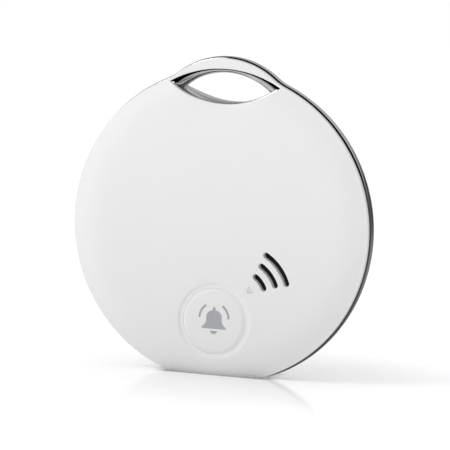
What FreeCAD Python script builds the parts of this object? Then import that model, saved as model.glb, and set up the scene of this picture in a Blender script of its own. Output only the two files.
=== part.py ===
import FreeCAD, Part
import math
import os

# Round key-finder tag: two white shells on a chromed ring, with a key-ring eye at the
# top, a press button and sound slots in front, and a coin-cell door at the back.
# Millimetres. +X is right, +Y runs from the front face to the back, +Z is up.
# The origin is the middle of the flat that the tag stands on, halfway through its depth.

# ---- driving dimensions -------------------------------------------------------------

DISC_R = 19.05           # round body
DISC_Z = 17.9            # its centre above the flat
LOOP_R = 10.0            # outer arc of the key-ring loop
LOOP_Z = 28.4
NECK_R = 7.0             # hollow blend between the body and the loop
CORNER_R = 2.5           # ends of the flat

FACE_Y = -2.8            # front face
BACK_Y = 2.8             # back face and battery door
BAND_FRONT = -1.55       # chromed ring, front and rear edges
BAND_BACK = -0.15
BAND_ROUND = 0.4         # rounding of the ring's outer edges
WALL = 0.85              # shell walls
SHELL_INSET = 0.2        # shells stand this far inside the ring's outline
RIM_PROUD = 0.5          # shells' thin edge stands this far off the ring
RIM_R = 18.65            # where the domed part of a shell meets its edge
FRONT_FLAT_R = 14.6      # flat middle of the front
BACK_FLAT_R = 14.0       # flat middle of the back

BORE_R = 17.45           # inside of the ring
FLOOR_Z = 1.3            # inside of the ring above the flat
EYE_ARC_Z = 44.25        # centre of the wall under the key-ring eye
EYE_WALL_R = 13.0
SKIRT_GAP = 0.1          # shells' skirts inside the ring
SKIRT_IN = 0.85
SEAM_FRONT = -0.90       # the two skirts end here, with a gasket between
SEAM_BACK = -0.80

# Key-ring eye: half width, height of its corners, of its bottom and of its top
THROAT = (5.45, 34.35, 32.85, 36.40)
EYE_RIM = (7.00, 35.05, 32.78, 36.90)
EYE_CLEARANCE = 0.05
THROAT_Y = -0.85
THROAT_HALF = 0.25
BEZEL_RISE = 0.4         # chromed rim stands this far out of the ring's faces

BUTTON_Z = 6.53
CAP_R = 3.95
CAP_FACE_Y = -2.78
CAP_BACK_Y = -2.05
FLANGE_R = 4.2
FLANGE_FRONT = -2.22
MEMBRANE_IN = 3.98
BUTTON_HOLE_R = 4.30
MEMBRANE_OUT = 5.0
MEMBRANE_FOOT_R = 4.35
LIP_BACK = -2.35
PRESS_ROOM_BACK = -1.75  # room behind the shell for the pressed button
MEMBRANE_SHEET = 0.1
GROOVE_Y = -2.66         # floor of the groove round the button
GROOVE_ROUND = 0.1
PLUNGER_R = 0.8
PLUNGER_PLAY = 0.05
NUB_R = 0.75
NUB_BACK = -1.85
SWITCH_FRONT = -1.70
SWITCH_FLOOR = -1.34     # bottom of the well, just clear of the plunger at full travel
SWITCH_WIDTH = 3.0
SWITCH_HEIGHT = 2.6
PLUNGER_REACH = 0.24     # plunger's length

SLOT_X = 3.26            # common centre of the sound slots
SLOT_Z = 9.63
SLOT_WIDTH = 0.75
SLOT_DIRECTION = 40.0    # degrees above +X
SOUND_SLOTS = ((3.2, 15.0), (4.7, 17.4), (6.15, 19.9))   # radius, half span in degrees

WINDOW = ((4.30, 11.12), (4.92, 10.35), (4.08, 10.18))   # corners of the light window
WINDOW_ROUND = 0.12
WINDOW_FRONT = -2.73
GUIDE_BACK = -1.74

BOARD_FRONT = -1.32
BOARD_BACK = -0.72
BOARD_INSET = 1.25
BOARD_POSTS = ((1.0, 28.8), (-13.0, 17.9), (14.8, 17.9), (-6.5, 5.5), (6.5, 5.0))
POST_R = 0.7
CHIP_CHAMFER = 0.1

# Parts on the board: centre x and z, width, height
CHIP = (-6.0, 20.5, 5.0, 5.0)
CRYSTAL = (-10.8, 20.5, 1.6, 2.0)
ANTENNA = (-6.0, 28.6, 7.0, 2.0)

# Rows of small parts: x and z of the lowest, and their count
CAPACITOR_ROWS = ((-10.2, 13.2, 3), (-7.6, 11.6, 4), (-1.2, 18.6, 5))
RESISTOR_ROWS = ((1.4, 18.6, 4), (-5.2, 11.6, 4))
SMALL_PITCH = 1.6
SMALL_PART = (1.0, 0.5)          # length and width
CAPACITOR_FRONT = -1.80
RESISTOR_FRONT = -1.67
PART_FRONT = -1.84       # tallest components on the front of the board

BUZZER_X = 8.6
BUZZER_Z = 14.6
BUZZER_R = 5.1
CHAMBER_R = 4.7
MESH_SHEET = 0.06
FOAM_BACK = -1.62
PLATE_BACK = -1.52
CERAMIC_BACK = -1.42
CERAMIC_R = 3.4
PIN_R = 0.2              # buzzer's spring pins
PIN_GAP = 4.2            # between the two pins
LED_SIDE = 0.8

CELL_R = 10.0
CELL_FRONT = -0.50
CELL_CAN_FRONT = -0.25
CELL_BACK = 2.0
CELL_SHEET = 0.25        # steel of the can and the cap
CELL_EDGE_ROUND = 0.2
CELL_CAP_R = 9.2
CELL_CAP_BACK = 0.5
CELL_GASKET_FRONT = -0.30
CELL_GASKET_BACK = 0.6
ANODE_R = 8.7
ANODE_BACK = 0.35
CATHODE_R = 8.8
HOLDER_IN = 10.15
HOLDER_OUT = 10.8
HOLDER_BACK = 1.85
SEAL_STEP = 0.1          # door seal's bore is this much wider than the holder's
SEAL_BACK = 2.03
PEG_ANGLES = (60.0, 240.0)
PEG_R = 0.3
CONTACT_NOTCH = 3.4      # height of the holder's notch for the side contact
SIDE_CONTACT_X = -12.2   # end of that contact's foot
SIDE_CONTACT_BACK = 1.5
SIDE_CONTACT_SHEET = 0.13
CONTACT_GAP = 0.02       # between that contact and the can
SIDE_CONTACT_FOOT = 0.12
SIDE_CONTACT_HALF = 1.4
ARM_SHEET = 0.1          # spring arms under the cell
ARM_HALF = 0.7
ARM_HUB_R = 1.8
ARM_BEND = (2.0, 5.5, 6.5)       # radii where an arm leaves the board and where it presses
ARM_ANGLES = (30.0, 150.0, 270.0)

DOOR_FACE_R = 12.9
DOOR_RECESS_R = 13.0
DOOR_RECESS_Y = 2.30
DOOR_FLANGE_Y = 2.35
DOOR_IN_Y = 2.05
DOOR_BODY_R = 11.75
DOOR_HOLE_R = 11.9
DOOR_SKIRT_R = 10.95
LUG_R = 12.75
LUG_FRONT = 1.25
LUG_BACK = 1.85
LUG_HALF = 9.0           # degrees
LUG_ANGLES = (30.0, 150.0, 270.0)
DOOR_TURN = 25.0         # degrees from locked to free, anticlockwise from behind
NOTCH_HALF = 11.0
NOTCH_R = 12.88
STOP_GAP = 1.0
STOP_SPAN = 4.0
STOP_R = 12.95
ROOT = 0.2               # overlap of a lug with the wall it grows from
LUG_GAP = 0.1            # lug's play under its ledge
COIN_SLOT = (13.0, 1.5, 0.4)     # length, width, depth

SCREW_CIRCLE_R = 15.2
SCREW_ANGLES = (35.0, 145.0, 215.0, 325.0)
SCREW_R = 0.68
SCREW_HEAD_R = 1.25
SCREW_SEAT_Y = 1.5
SCREW_HEAD_BACK = 2.0
SCREW_TIP_Y = -1.75
SCREW_PLAY = 0.07        # round the shank, in the back shell
CROSS = (1.5, 0.35, 0.25)        # length, width and depth of the cross recess
BOSS_R = 1.1
REAR_BOSS_R = 1.9
COUNTERBORE_R = 1.35
BOSS_GAP = 0.06          # between front and rear screw bosses
BOSS_HOLE_PLAY = 0.1     # round a boss, in the board
GASKET_INSET = 0.1       # gasket's edges inside the skirts' edges


# ---- shapes used by many pieces ---------------------------------------------------------

def vec(x, y, z):
    return FreeCAD.Vector(x, y, z)


def disc(radius, front, back, x=0.0, z=DISC_Z):
    """Round bar along Y."""
    return Part.makeCylinder(radius, back - front, vec(x, front, z), vec(0, 1, 0))


def ring(outer, inner, front, back, x=0.0, z=DISC_Z):
    return disc(outer, front, back, x, z).cut(disc(inner, front, back, x, z))


def block(x_span, y_span, z_span):
    size = [high - low for low, high in (x_span, y_span, z_span)]
    return Part.makeBox(*size, vec(x_span[0], y_span[0], z_span[0]))


def centred_block(x, z, width, height, front, back):
    return block((x - width / 2, x + width / 2), (front, back), (z - height / 2, z + height / 2))


def fuse(first, others):
    """One solid out of touching pieces, with seams between them removed."""
    return first.multiFuse(others).removeSplitter()


def arc_edge(points, y):
    """Arc through three (x, z) points on the plane at y."""
    a, b, c = [vec(x, y, z) for x, z in points]
    return Part.Arc(a, b, c).toShape()


def line_edge(points, y):
    a, b = [vec(x, y, z) for x, z in points]
    return Part.LineSegment(a, b).toShape()


def face_of(edges):
    return Part.Face(Part.Wire(Part.__sortEdges__(edges)))


def prism(face, depth):
    return face.extrude(vec(0, depth, 0))


def polar(radius, degrees, x=0.0, z=DISC_Z):
    angle = math.radians(degrees)
    return (x + radius * math.cos(angle), z + radius * math.sin(angle))


def sector(inner, outer, start, end, front, back):
    """Piece of a ring about the disc's axis, between two angles in degrees."""
    middle = (start + end) / 2
    edges = [
        arc_edge([polar(outer, a) for a in (start, middle, end)], front),
        line_edge([polar(outer, end), polar(inner, end)], front),
        arc_edge([polar(inner, a) for a in (end, middle, start)], front),
        line_edge([polar(inner, start), polar(outer, start)], front),
    ]
    return prism(face_of(edges), back - front)


def outline(inset, front, back):
    """Body and loop in one outline, moved inwards by inset but standing on the same flat."""
    disc_r = DISC_R - inset
    loop_r = LOOP_R - inset
    neck_r = NECK_R + inset
    corner_r = CORNER_R - inset

    rise = LOOP_Z - DISC_Z
    to_disc = DISC_R + NECK_R
    to_loop = LOOP_R + NECK_R
    neck_z = (rise ** 2 + to_disc ** 2 - to_loop ** 2) / (2 * rise)
    neck_x = math.sqrt(to_disc ** 2 - neck_z ** 2)
    neck = (neck_x, DISC_Z + neck_z)
    on_disc = (neck_x * disc_r / to_disc, DISC_Z + neck_z * disc_r / to_disc)
    on_loop = (neck_x * loop_r / to_loop, LOOP_Z + (neck_z - rise) * loop_r / to_loop)
    middle = ((on_disc[0] + on_loop[0]) / 2, (on_disc[1] + on_loop[1]) / 2)
    reach = math.hypot(middle[0] - neck[0], middle[1] - neck[1])
    neck_mid = tuple(n + (m - n) * neck_r / reach for n, m in zip(neck, middle))

    corner_x = math.sqrt((disc_r - corner_r) ** 2 - (DISC_Z - corner_r) ** 2)
    turn = math.atan2(corner_r - DISC_Z, corner_x)
    corner_end = (disc_r * math.cos(turn), DISC_Z + disc_r * math.sin(turn))
    half_turn = (turn - math.pi / 2) / 2
    corner_mid = (corner_x + corner_r * math.cos(half_turn), corner_r + corner_r * math.sin(half_turn))

    right = [
        [(corner_x, 0), corner_mid, corner_end],
        [corner_end, (disc_r, DISC_Z), on_disc],
        [on_disc, neck_mid, on_loop],
    ]
    left = [[(-x, z) for x, z in points] for points in right]
    loop = [on_loop, (0, LOOP_Z + loop_r), (-on_loop[0], on_loop[1])]
    edges = [arc_edge(points, front) for points in right + left + [loop]]
    edges.append(line_edge([(-corner_x, 0), (corner_x, 0)], front))
    return prism(face_of(edges), back - front)


def cavity(inset, front, back):
    """Space inside the chromed ring, with its walls moved inwards by inset."""
    space = disc(BORE_R - inset, front, back)
    space = space.cut(disc(EYE_WALL_R + inset, front, back, z=EYE_ARC_Z))
    return space.cut(block((-DISC_R, DISC_R), (front, back), (0, FLOOR_Z + inset)))


def dome(face_y, rim_y, flat_r, mate_y, wall=0.0):
    """Solid of revolution under a shell's pillow-shaped face, or its inside at depth wall."""
    inward = 1 if rim_y > face_y else -1
    fall = abs(rim_y - face_y)
    radius = ((RIM_R - flat_r) ** 2 + fall ** 2) / (2 * fall)
    sweep = math.asin((RIM_R - flat_r) / radius)

    def on_arc(angle):
        reach = radius - wall
        return (flat_r + reach * math.sin(angle), face_y + inward * (radius - reach * math.cos(angle)))

    start, middle, end = on_arc(0), on_arc(sweep / 2), on_arc(sweep)
    far = DISC_R + LOOP_R
    corners = [end, (far, end[1]), (far, mate_y), (0, mate_y), (0, start[1]), start]
    edges = [Part.Arc(*[vec(x, y, DISC_Z) for x, y in (start, middle, end)]).toShape()]
    for a, b in zip(corners, corners[1:]):
        edges.append(Part.LineSegment(vec(*a, DISC_Z), vec(*b, DISC_Z)).toShape())
    return face_of(edges).revolve(vec(0, 0, DISC_Z), vec(0, 1, 0), 360)


def eye_wire(size, y, grow=0.0):
    """Lens-shaped outline of the key-ring eye: two arcs that meet in pointed corners."""
    half, corner, bottom, top = size
    left = (-half - grow, corner)
    right = (half + grow, corner)
    lower = arc_edge([left, (0, bottom - grow), right], y)
    upper = arc_edge([right, (0, top + grow), left], y)
    return Part.Wire([lower, upper])


def eye_prism(size, front, back, grow=0.0):
    return prism(Part.Face(eye_wire(size, front, grow)), back - front)


def eye_flare(mouth_y, steps=4):
    """Cutter that widens from the eye's throat to its rim like the inside of a bead."""
    side = 1 if mouth_y > THROAT_Y else -1
    start_y = THROAT_Y + side * THROAT_HALF
    wires = []
    for step in range(steps + 1):
        angle = math.pi / 2 * step / steps
        widen = 1 - math.cos(angle)
        size = [a + (b - a) * widen for a, b in zip(THROAT, EYE_RIM)]
        wires.append(eye_wire(size, start_y + (mouth_y - start_y) * math.sin(angle)))
    return Part.makeLoft(wires, True, False)


# ---- case ----------------------------------------------------------------------------

def make_middle_frame():
    band = outline(0, BAND_FRONT, BAND_BACK)
    rims = [e for e in band.Edges if abs(e.Vertexes[0].Y - e.Vertexes[-1].Y) < 1e-6]
    band = band.makeFillet(BAND_ROUND, rims)
    band = band.cut(cavity(0, BAND_FRONT, BAND_BACK))
    bezel_front = BAND_FRONT - BEZEL_RISE
    bezel_back = BAND_BACK + BEZEL_RISE
    band = band.fuse(eye_prism(EYE_RIM, bezel_front, bezel_back))
    throat = eye_prism(THROAT, THROAT_Y - THROAT_HALF, THROAT_Y + THROAT_HALF)
    for cutter in (throat, eye_flare(bezel_front), eye_flare(bezel_back)):
        band = band.cut(cutter)
    return band


def sound_slot(radius, half_span):
    """Cutter for one curved sound slot with round ends."""
    start = SLOT_DIRECTION - half_span
    end = SLOT_DIRECTION + half_span
    half = SLOT_WIDTH / 2
    cap = math.degrees(half / radius)
    inner, outer = radius - half, radius + half

    def at(r, angle):
        return polar(r, angle, SLOT_X, SLOT_Z)

    edges = [
        arc_edge([at(outer, start), at(outer, SLOT_DIRECTION), at(outer, end)], FACE_Y),
        arc_edge([at(outer, end), at(radius, end + cap), at(inner, end)], FACE_Y),
        arc_edge([at(inner, end), at(inner, SLOT_DIRECTION), at(inner, start)], FACE_Y),
        arc_edge([at(inner, start), at(radius, start - cap), at(outer, start)], FACE_Y),
    ]
    return prism(face_of(edges), 2 * WALL)


def window_prism(front, back):
    """Small three-cornered light window beside the slots."""
    corners = [vec(x, front, z) for x, z in WINDOW]
    solid = prism(Part.Face(Part.makePolygon(corners + corners[:1])), back - front)
    uprights = [e for e in solid.Edges if abs(e.Vertexes[0].Y - e.Vertexes[-1].Y) > 1e-6]
    return solid.makeFillet(WINDOW_ROUND, uprights)


def skirt(front, back):
    """Part of a shell that fits inside the chromed ring."""
    return cavity(SKIRT_GAP, front, back).cut(cavity(SKIRT_IN, front, back))


def screw_places():
    return [polar(SCREW_CIRCLE_R, angle) for angle in SCREW_ANGLES]


def make_front_shell():
    rim_y = BAND_FRONT - RIM_PROUD
    inner_y = FACE_Y + WALL
    shell = outline(SHELL_INSET, FACE_Y, BAND_FRONT)
    shell = shell.common(dome(FACE_Y, rim_y, FRONT_FLAT_R, BAND_FRONT))
    hollow = cavity(SKIRT_IN, inner_y, BAND_FRONT)
    hollow = hollow.common(dome(FACE_Y, rim_y, FRONT_FLAT_R, BAND_FRONT, WALL))
    shell = shell.cut(hollow)

    added = [skirt(BAND_FRONT, SEAM_FRONT)]
    added += [disc(BOSS_R, inner_y, BOARD_BACK - BOSS_GAP, x, z) for x, z in screw_places()]
    added += [disc(POST_R, inner_y, BOARD_FRONT, x, z) for x, z in BOARD_POSTS]
    shell = fuse(shell, added)

    removed = [eye_prism(EYE_RIM, FACE_Y, BAND_FRONT, EYE_CLEARANCE)]
    removed.append(disc(BUTTON_HOLE_R, FACE_Y, inner_y, 0, BUTTON_Z))
    removed.append(disc(MEMBRANE_OUT, LIP_BACK, PRESS_ROOM_BACK, 0, BUTTON_Z))
    removed += [sound_slot(radius, half_span) for radius, half_span in SOUND_SLOTS]
    removed.append(window_prism(FACE_Y, inner_y))
    removed += [disc(SCREW_R, SCREW_TIP_Y, 0, x, z) for x, z in screw_places()]
    return shell.cut(removed)


def make_back_shell():
    rim_y = BAND_BACK + RIM_PROUD
    shell = outline(SHELL_INSET, BAND_BACK, BACK_Y)
    shell = shell.common(dome(BACK_Y, rim_y, BACK_FLAT_R, BAND_BACK))
    hollow = cavity(SKIRT_IN, BAND_BACK, BACK_Y - WALL)
    hollow = hollow.common(dome(BACK_Y, rim_y, BACK_FLAT_R, BAND_BACK, WALL))
    shell = shell.cut(hollow)

    ceiling = BACK_Y - WALL
    added = [skirt(SEAM_BACK, BAND_BACK)]
    added += [disc(REAR_BOSS_R, BOARD_BACK, ceiling, x, z) for x, z in screw_places()]
    lug = LUG_ANGLES[0]
    locked_stop = lug + LUG_HALF + STOP_GAP
    free_stop = lug - DOOR_TURN - LUG_HALF - STOP_GAP - STOP_SPAN
    for start in (locked_stop, free_stop):
        added.append(sector(DOOR_HOLE_R, STOP_R, start, start + STOP_SPAN, LUG_FRONT, ceiling))
    shell = fuse(shell, added)

    removed = [eye_prism(EYE_RIM, BAND_BACK, BACK_Y, EYE_CLEARANCE)]
    removed.append(disc(DOOR_RECESS_R, DOOR_RECESS_Y, BACK_Y))
    removed.append(disc(DOOR_HOLE_R, LUG_FRONT, BACK_Y))
    for angle in LUG_ANGLES:
        middle = angle - DOOR_TURN
        span = (middle - NOTCH_HALF, middle + NOTCH_HALF)
        removed.append(sector(DOOR_BODY_R, NOTCH_R, *span, LUG_BACK, BACK_Y))
    removed += [disc(SCREW_R + SCREW_PLAY, BOARD_BACK, SCREW_SEAT_Y, x, z) for x, z in screw_places()]
    removed += [disc(COUNTERBORE_R, SCREW_SEAT_Y, BACK_Y, x, z) for x, z in screw_places()]
    return shell.cut(removed)


def make_case_gasket():
    outer = cavity(SKIRT_GAP + GASKET_INSET, SEAM_FRONT, SEAM_BACK)
    return outer.cut(cavity(SKIRT_IN - GASKET_INSET, SEAM_FRONT, SEAM_BACK))


def make_shell_screws():
    """Four cross-head screws, each a solid of its own."""
    screws = []
    length, width, depth = CROSS
    for x, z in screw_places():
        screw = disc(SCREW_HEAD_R, SCREW_SEAT_Y, SCREW_HEAD_BACK, x, z)
        screw = fuse(screw, [disc(SCREW_R, SCREW_TIP_Y, SCREW_SEAT_Y, x, z)])
        front = SCREW_HEAD_BACK - depth
        across = centred_block(x, z, length, width, front, BACK_Y)
        upright = centred_block(x, z, width, length, front, BACK_Y)
        screws.append(screw.cut([across, upright]))
    return Part.makeCompound(screws)


# ---- battery and its door ---------------------------------------------------------------

def make_battery_door():
    door = disc(DOOR_FACE_R, DOOR_FLANGE_Y, BACK_Y)
    added = [disc(DOOR_BODY_R, DOOR_IN_Y, DOOR_FLANGE_Y)]
    added.append(ring(DOOR_BODY_R, DOOR_SKIRT_R, LUG_FRONT, DOOR_IN_Y))
    for angle in LUG_ANGLES:
        span = (angle - LUG_HALF, angle + LUG_HALF)
        added.append(sector(DOOR_BODY_R - ROOT, LUG_R, *span, LUG_FRONT, LUG_BACK - LUG_GAP))
    door = fuse(door, added)

    length, width, depth = COIN_SLOT
    half_run = (length - width) / 2
    slot = centred_block(0, DISC_Z, 2 * half_run, width, BACK_Y - depth, BACK_Y)
    ends = [disc(width / 2, BACK_Y - depth, BACK_Y, x) for x in (-half_run, half_run)]
    return door.cut(slot.multiFuse(ends))


def make_door_seal():
    return ring(HOLDER_OUT, HOLDER_IN + SEAL_STEP, HOLDER_BACK, SEAL_BACK)


def make_coin_cell_can():
    """Steel cup, open towards the board."""
    can = disc(CELL_R, CELL_CAN_FRONT, CELL_BACK)
    rims = [e for e in can.Edges if len(e.Vertexes) == 1]
    can = can.makeFillet(CELL_EDGE_ROUND, rims)
    return can.cut(disc(CELL_R - CELL_SHEET, CELL_CAN_FRONT, CELL_BACK - CELL_SHEET))


def make_coin_cell_cap():
    """Smaller steel cup that closes the can from the front."""
    cap = disc(CELL_CAP_R, CELL_FRONT, CELL_CAP_BACK)
    return cap.cut(disc(CELL_CAP_R - CELL_SHEET, CELL_FRONT + CELL_SHEET, CELL_CAP_BACK))


def make_coin_cell_gasket():
    return ring(CELL_R - CELL_SHEET, CELL_CAP_R, CELL_GASKET_FRONT, CELL_GASKET_BACK)


def make_coin_cell_anode():
    return disc(ANODE_R, CELL_FRONT + CELL_SHEET, ANODE_BACK)


def make_coin_cell_cathode():
    return disc(CATHODE_R, ANODE_BACK, CELL_BACK - CELL_SHEET)


def contact_span(half):
    """Span in Z about the cell's axis."""
    return (DISC_Z - half, DISC_Z + half)


def make_battery_holder():
    middle = (HOLDER_IN + HOLDER_OUT) / 2
    holder = ring(HOLDER_OUT, HOLDER_IN, BOARD_BACK, HOLDER_BACK)
    pegs = [disc(PEG_R, BOARD_FRONT, BOARD_BACK, *polar(middle, angle)) for angle in PEG_ANGLES]
    holder = fuse(holder, pegs)
    notch = block((-HOLDER_OUT, -CELL_R), (BOARD_BACK, HOLDER_BACK), contact_span(CONTACT_NOTCH / 2))
    return holder.cut(notch)


def xy_strip(points, half_width):
    """Bent metal strip: its (x, y) profile, as wide in Z as the spring is."""
    corners = [vec(x, y, DISC_Z - half_width) for x, y in points]
    return Part.Face(Part.makePolygon(corners + corners[:1])).extrude(vec(0, 0, 2 * half_width))


def make_positive_contact():
    """Spring strip that leans on the can's side, with a foot on the board."""
    inner = -CELL_R - CONTACT_GAP
    outer = inner - SIDE_CONTACT_SHEET
    foot_y = BOARD_BACK + SIDE_CONTACT_FOOT
    profile = [(SIDE_CONTACT_X, BOARD_BACK), (inner, BOARD_BACK), (inner, SIDE_CONTACT_BACK)]
    profile += [(outer, SIDE_CONTACT_BACK), (outer, foot_y), (SIDE_CONTACT_X, foot_y)]
    return xy_strip(profile, SIDE_CONTACT_HALF)


def make_negative_contact():
    """Plate with three spring arms that press on the cell's cap."""
    root, rise, tip = ARM_BEND
    low, high = BOARD_BACK, BOARD_BACK + ARM_SHEET
    lift = CELL_FRONT - high
    profile = [(0, low), (root, low), (rise, low + lift), (tip, low + lift)]
    profile += [(tip, high + lift), (rise, high + lift), (root, high), (0, high)]
    arm = xy_strip(profile, ARM_HALF)
    arms = [arm.rotated(vec(0, 0, DISC_Z), vec(0, 1, 0), turn) for turn in ARM_ANGLES]
    return fuse(disc(ARM_HUB_R, low, high), arms)


# ---- button -------------------------------------------------------------------------------

def make_button_cap():
    cap = disc(CAP_R, CAP_FACE_Y, CAP_BACK_Y, 0, BUTTON_Z)
    edge = [e for e in cap.Edges if len(e.Vertexes) == 1 and abs(e.Vertexes[0].Y - CAP_FACE_Y) < 1e-6]
    cap = cap.makeFillet(GROOVE_ROUND, edge)
    flange = disc(FLANGE_R, FLANGE_FRONT, CAP_BACK_Y, 0, BUTTON_Z)
    nub = disc(NUB_R, CAP_BACK_Y, NUB_BACK, 0, BUTTON_Z)
    return fuse(cap, [flange, nub])


def make_button_membrane():
    """Soft ring that closes the gap round the button and forms the floor of its groove."""
    sheet_back = LIP_BACK + MEMBRANE_SHEET
    throat = ring(BUTTON_HOLE_R, MEMBRANE_IN, GROOVE_Y, sheet_back, 0, BUTTON_Z)
    sheet = ring(MEMBRANE_OUT, MEMBRANE_IN, LIP_BACK, sheet_back, 0, BUTTON_Z)
    foot = ring(MEMBRANE_OUT, MEMBRANE_FOOT_R, sheet_back, FACE_Y + WALL, 0, BUTTON_Z)
    return fuse(throat, [sheet, foot])


def make_switch_body():
    body = centred_block(0, BUTTON_Z, SWITCH_WIDTH, SWITCH_HEIGHT, SWITCH_FRONT, BOARD_FRONT)
    return body.cut(disc(PLUNGER_R + PLUNGER_PLAY, SWITCH_FRONT, SWITCH_FLOOR, 0, BUTTON_Z))


def make_switch_plunger():
    return disc(PLUNGER_R, NUB_BACK, NUB_BACK + PLUNGER_REACH, 0, BUTTON_Z)


# ---- sound and light --------------------------------------------------------------------------

def make_sound_mesh():
    return disc(CHAMBER_R, FACE_Y + WALL, FACE_Y + WALL + MESH_SHEET, BUZZER_X, BUZZER_Z)


def make_buzzer_gasket():
    return ring(BUZZER_R, CHAMBER_R, FACE_Y + WALL, FOAM_BACK, BUZZER_X, BUZZER_Z)


def make_buzzer_plate():
    return disc(BUZZER_R, FOAM_BACK, PLATE_BACK, BUZZER_X, BUZZER_Z)


def make_buzzer_ceramic():
    return disc(CERAMIC_R, PLATE_BACK, CERAMIC_BACK, BUZZER_X, BUZZER_Z)


def make_buzzer_contacts():
    """Two spring pins: one on the ceramic, one on the brass beside it."""
    on_ceramic = disc(PIN_R, CERAMIC_BACK, BOARD_FRONT, BUZZER_X, BUZZER_Z)
    on_plate = disc(PIN_R, PLATE_BACK, BOARD_FRONT, BUZZER_X, BUZZER_Z + PIN_GAP)
    return Part.makeCompound([on_ceramic, on_plate])


def window_centre():
    return [sum(corner[i] for corner in WINDOW) / len(WINDOW) for i in (0, 1)]


def make_light_guide():
    return window_prism(WINDOW_FRONT, GUIDE_BACK)


def make_indicator_led():
    return centred_block(*window_centre(), LED_SIDE, LED_SIDE, GUIDE_BACK, BOARD_FRONT)


# ---- circuit board -------------------------------------------------------------------------

def make_circuit_board():
    board = cavity(BOARD_INSET, BOARD_FRONT, BOARD_BACK)
    middle = (HOLDER_IN + HOLDER_OUT) / 2
    holes = [disc(BOSS_R + BOSS_HOLE_PLAY, BOARD_FRONT, BOARD_BACK, x, z) for x, z in screw_places()]
    holes += [disc(PEG_R, BOARD_FRONT, BOARD_BACK, *polar(middle, angle)) for angle in PEG_ANGLES]
    return board.cut(holes)


def chamfered_chip(x, z, width, height, front):
    chip = centred_block(x, z, width, height, front, BOARD_FRONT)
    edges = [e for e in chip.Edges if all(abs(v.Y - front) < 1e-6 for v in e.Vertexes)]
    return chip.makeChamfer(CHIP_CHAMFER, edges)


def make_bluetooth_chip():
    return chamfered_chip(*CHIP, PART_FRONT)


def make_crystal():
    return chamfered_chip(*CRYSTAL, PART_FRONT)


def make_chip_antenna():
    return chamfered_chip(*ANTENNA, PART_FRONT)


def component_rows(rows, front):
    """Small parts in straight rows."""
    solids = []
    for x, z, count in rows:
        for index in range(count):
            solids.append(centred_block(x, z + SMALL_PITCH * index, *SMALL_PART, front, BOARD_FRONT))
    return Part.makeCompound(solids)


def make_capacitors():
    return component_rows(CAPACITOR_ROWS, CAPACITOR_FRONT)


def make_resistors():
    return component_rows(RESISTOR_ROWS, RESISTOR_FRONT)


NODES = {
    "front_shell": make_front_shell,
    "middle_frame": make_middle_frame,
    "back_shell": make_back_shell,
    "case_gasket": make_case_gasket,
    "shell_screws": make_shell_screws,
    "battery_door": make_battery_door,
    "door_seal": make_door_seal,
    "coin_cell_can": make_coin_cell_can,
    "coin_cell_cap": make_coin_cell_cap,
    "coin_cell_gasket": make_coin_cell_gasket,
    "coin_cell_anode": make_coin_cell_anode,
    "coin_cell_cathode": make_coin_cell_cathode,
    "battery_holder": make_battery_holder,
    "positive_contact": make_positive_contact,
    "negative_contact": make_negative_contact,
    "button_cap": make_button_cap,
    "button_membrane": make_button_membrane,
    "switch_body": make_switch_body,
    "switch_plunger": make_switch_plunger,
    "sound_mesh": make_sound_mesh,
    "buzzer_gasket": make_buzzer_gasket,
    "buzzer_plate": make_buzzer_plate,
    "buzzer_ceramic": make_buzzer_ceramic,
    "buzzer_contacts": make_buzzer_contacts,
    "light_guide": make_light_guide,
    "indicator_led": make_indicator_led,
    "circuit_board": make_circuit_board,
    "bluetooth_chip": make_bluetooth_chip,
    "crystal": make_crystal,
    "chip_antenna": make_chip_antenna,
    "capacitors": make_capacitors,
    "resistors": make_resistors,
}


def main():
    os.makedirs("parts", exist_ok=True)
    for name, make in NODES.items():
        shape = make()
        if not shape.isValid() or not shape.Solids:
            raise RuntimeError(f"{name} is not a valid solid")
        shape.exportStep(f"parts/{name}.step")
        print(f"{name}: {len(shape.Solids)} solids, {shape.Volume:.1f} mm3")


main()
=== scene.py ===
import math
from functools import cache

import bmesh
import bpy
import numpy as np
from bpy.props import FloatProperty, FloatVectorProperty, PointerProperty
from mathutils import Matrix, Vector
from mathutils.geometry import delaunay_2d_cdt


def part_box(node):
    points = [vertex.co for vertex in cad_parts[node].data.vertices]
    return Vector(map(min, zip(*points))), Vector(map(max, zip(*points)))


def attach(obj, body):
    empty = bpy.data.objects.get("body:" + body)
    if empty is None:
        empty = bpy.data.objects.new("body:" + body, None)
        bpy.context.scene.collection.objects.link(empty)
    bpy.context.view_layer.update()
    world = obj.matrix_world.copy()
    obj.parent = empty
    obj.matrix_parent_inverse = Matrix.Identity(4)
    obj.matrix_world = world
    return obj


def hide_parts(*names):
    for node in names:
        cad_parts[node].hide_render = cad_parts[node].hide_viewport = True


bl_info = {
    "name": "Key-finder tag",
    "version": (1, 0, 0),
    "blender": (4, 5, 0),
    "location": "View3D > Sidebar > Tag",
    "description": "Models a round key-finder tag on its packed frame",
    "category": "Object",
}

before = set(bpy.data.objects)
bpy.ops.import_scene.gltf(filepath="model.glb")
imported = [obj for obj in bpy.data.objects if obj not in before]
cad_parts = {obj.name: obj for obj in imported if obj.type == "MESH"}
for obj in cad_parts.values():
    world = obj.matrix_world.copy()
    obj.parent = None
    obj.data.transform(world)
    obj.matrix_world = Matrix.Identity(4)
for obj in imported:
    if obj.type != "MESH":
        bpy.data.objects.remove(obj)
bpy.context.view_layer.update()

# ---- sizes, in millimetres in the frame's own axes ------------------------------------------
# Meshes are drawn in millimetres and scaled to metres when they are placed.

MM = 0.001


def span(node, axis):
    """Lowest and highest place of a CAD node along one axis."""
    low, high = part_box(node)
    return low[axis] / MM, high[axis] / MM


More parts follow.
